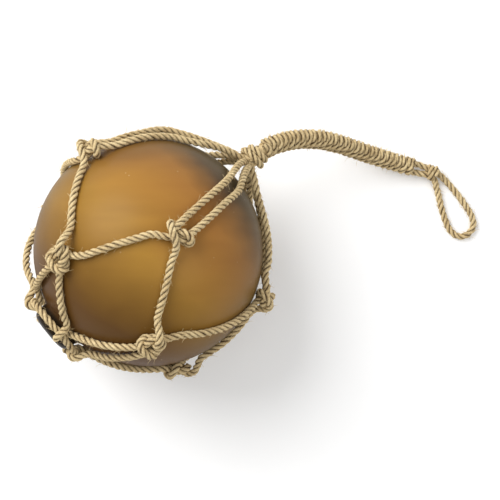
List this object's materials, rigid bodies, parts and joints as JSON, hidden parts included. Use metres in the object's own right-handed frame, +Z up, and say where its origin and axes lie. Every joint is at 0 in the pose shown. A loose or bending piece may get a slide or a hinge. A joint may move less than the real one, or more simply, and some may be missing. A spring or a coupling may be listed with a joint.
{
  "type": "glass float ball",
  "caption": "Frosted amber glass float ball in a knotted jute net, lying on its side, with a whipped rope handle and a hanging loop.",
  "frame": {"origin": "the middle of the small flat on the underside of the glass, on the floor below the ball's centre", "axes": "+X runs along the picture's width, from the ball towards the end of the handle, +Y away from the viewer towards the top of the picture, +Z up from the floor"},
  "size_m": [0.2568, 0.1399, 0.1334],
  "materials": {
    "glass": "frosted amber, satin, hardly see-through",
    "jute": "dry three-strand jute cord, matt and slightly hairy"
  },
  "bodies": {
    "root": {"glass_ball": "glass", "rope_net": "jute", "neck_lashing": "jute", "handle_whipping": "jute", "end_knot": "jute", "hanging_loop": "jute"}
  },
  "joints": []
}
